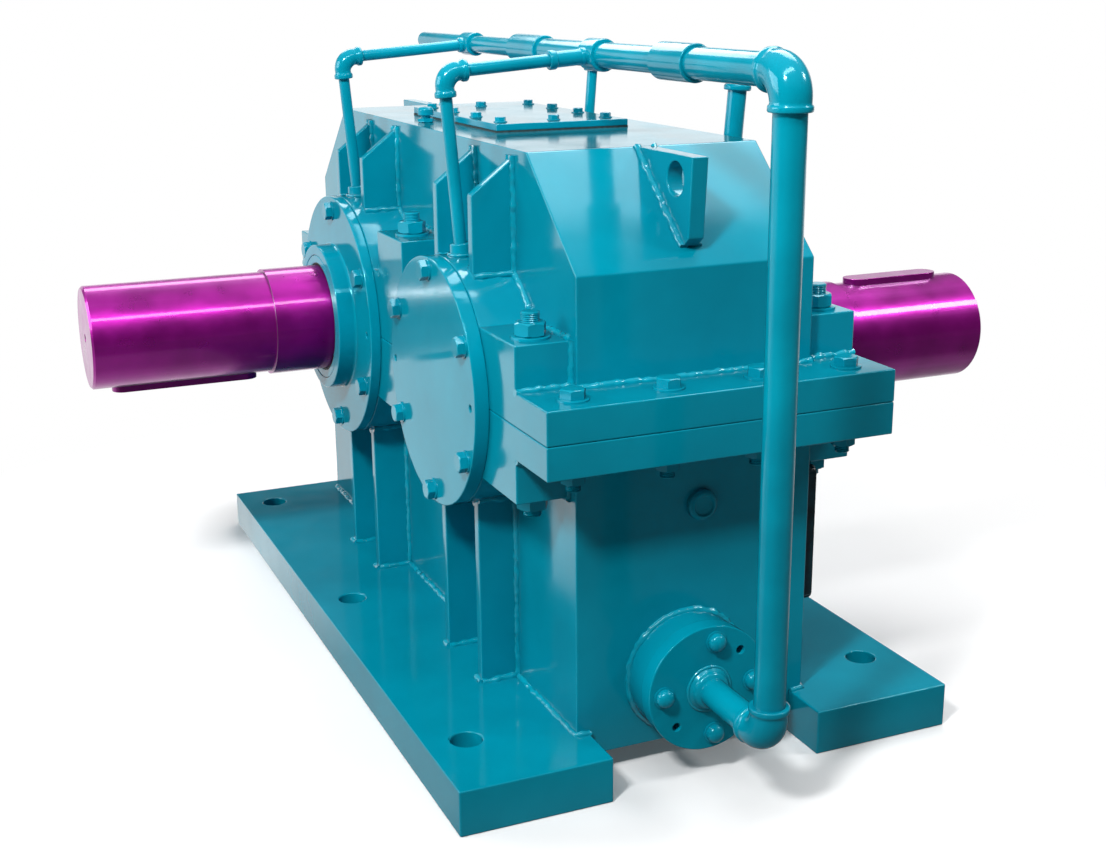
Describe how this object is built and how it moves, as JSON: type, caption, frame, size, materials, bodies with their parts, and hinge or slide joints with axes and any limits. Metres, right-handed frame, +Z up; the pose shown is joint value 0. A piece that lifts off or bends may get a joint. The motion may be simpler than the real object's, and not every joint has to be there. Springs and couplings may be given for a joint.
{
  "type": "parallel shaft helical gearbox",
  "caption": "Parallel shaft helical gear unit: split ribbed casing on two foot plates, keyed shafts to either side, flanged bearing covers and rigid oil pipes.",
  "frame": {"origin": "centre of the rectangle of the four corner foundation bolts, on the floor under the foot plates", "axes": "+Z up, Y along the shafts with the output extension towards -Y, +X towards the end with the oil outlet"},
  "size_m": [1.8028, 1.57, 1.1688],
  "materials": {
    "teal_enamel": "gloss teal enamel on welded steel",
    "magenta_steel": "turned steel under a clear magenta lacquer",
    "gear_steel": "ground case-hardened steel",
    "bearing_steel": "polished bearing steel",
    "seal_rubber": "black nitrile rubber",
    "gasket_fibre": "pressed fibre gasket sheet",
    "gauge_black": "dark level gauge body"
  },
  "bodies": {
    "casing": {"upper_casing": "teal_enamel", "lower_casing": "teal_enamel", "left_foot_plate": "teal_enamel", "right_foot_plate": "teal_enamel", "near_lifting_lug": "teal_enamel", "far_lifting_lug": "teal_enamel", "inspection_cover": "teal_enamel", "inspection_bolts": "teal_enamel", "output_seal_cover": "teal_enamel", "output_blind_cover": "teal_enamel", "input_seal_cover": "teal_enamel", "input_blind_cover": "teal_enamel", "output_cover_bolts": "teal_enamel", "input_cover_bolts": "teal_enamel", "flange_bolts": "teal_enamel", "flange_nuts": "teal_enamel", "cap_bolts": "teal_enamel", "cap_nuts": "teal_enamel", "casing_plugs": "teal_enamel", "breather": "teal_enamel", "pipe_flange": "teal_enamel", "pipe_flange_bolts": "teal_enamel", "stub_pipe": "teal_enamel", "lower_elbow": "teal_enamel", "riser_pipe": "teal_enamel", "upper_elbow": "teal_enamel", "header_near": "teal_enamel", "header_middle": "teal_enamel", "header_far": "teal_enamel", "header_couplings": "teal_enamel", "header_bands": "teal_enamel", "branch_pipes": "teal_enamel", "branch_elbows": "teal_enamel", "drop_pipes": "teal_enamel", "inlet_bosses": "teal_enamel", "bearing_outer_rings": "bearing_steel", "shaft_seals": "seal_rubber", "inspection_gasket": "gasket_fibre", "level_gauge": "gauge_black"},
    "output_line": {"output_shaft": "magenta_steel", "output_key": "magenta_steel", "output_rollers": "bearing_steel", "wheel_key": "gear_steel", "gear_wheel": "gear_steel"},
    "input_line": {"input_shaft": "magenta_steel", "input_key": "magenta_steel", "input_rollers": "bearing_steel", "pinion_key": "gear_steel", "pinion": "gear_steel"}
  },
  "joints": [
    {"name": "output_spin", "type": "hinge", "parent": "casing", "child": "output_line", "pos_m": [-0.228, 0, 0.605], "axis": [0, 1, 0], "continuous": true},
    {"name": "input_spin", "type": "hinge", "parent": "casing", "child": "input_line", "pos_m": [0.372, 0, 0.605], "axis": [0, 1, 0], "continuous": true}
  ],
  "couplings": [
    {"joint": "input_spin", "follows": "output_spin", "ratio": -1.3548}
  ]
}
